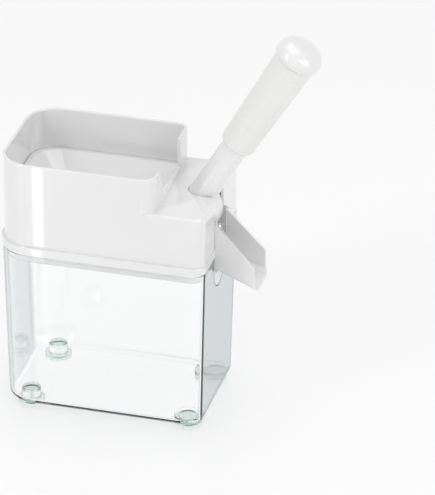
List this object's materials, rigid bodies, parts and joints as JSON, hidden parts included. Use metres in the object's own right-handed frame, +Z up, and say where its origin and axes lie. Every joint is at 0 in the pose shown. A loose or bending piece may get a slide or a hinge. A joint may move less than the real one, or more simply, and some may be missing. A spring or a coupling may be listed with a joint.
{
  "type": "lever cherry pitter",
  "caption": "Countertop cherry pitter: a clear stone container on soft feet carries a white hopper housing with a swing lever, a hidden needle and a side chute.",
  "frame": {"origin": "on the table, under the middle of the whole object's bounding box; the container's own middle is at X -36.6 mm", "axes": "+Z up, +X from the hopper towards the chute and the lever, +Y to the back"},
  "size_m": [0.2318, 0.1006, 0.3088],
  "materials": {
    "clear_plastic": "clear, polished",
    "white_plastic": "glossy",
    "grip_plastic": "satin gloss",
    "clear_rubber": "clear, soft",
    "silicone": "matt, soft",
    "steel": "fine brushed"
  },
  "bodies": {
    "container": {"stone_container": "clear_plastic", "foot_front_left": "clear_rubber", "foot_front_right": "clear_rubber", "foot_back_right": "clear_rubber", "foot_back_left": "clear_rubber"},
    "housing": {"housing": "white_plastic", "feed_tray": "white_plastic", "pitting_frame": "white_plastic", "guide_rail": "steel", "cherry_seat": "silicone", "stripper_plate": "steel", "frame_screws": "steel", "pivot_pin_front": "steel", "pivot_pin_rear": "steel", "chute": "white_plastic"},
    "lever": {"lever_arm": "white_plastic", "lever_core": "steel", "lever_grip": "grip_plastic", "lever_end_cap": "white_plastic", "crank_pin": "steel", "return_spring": "steel"},
    "needle": {"needle_carriage": "white_plastic", "needle": "steel"}
  },
  "joints": [
    {"name": "housing_lift", "type": "slide", "parent": "container", "child": "housing", "axis": [0, 0, 1], "range_m": [0, 0.12]},
    {"name": "lever_swing", "type": "hinge", "parent": "housing", "child": "lever", "pos_m": [0.00636, 0, 0.158], "axis": [0, 1, 0], "range_deg": [0, 54], "stiffness_Nm_per_rad": 0.12, "springref_deg": -54.43, "deforming": ["return_spring"]},
    {"name": "needle_slide", "type": "slide", "parent": "housing", "child": "needle", "axis": [0, 0, -1], "range_m": [0, 0.0251]}
  ],
  "couplings": [
    {"joint": "needle_slide", "follows": "lever_swing", "m_per_rad": 0.026526}
  ]
}
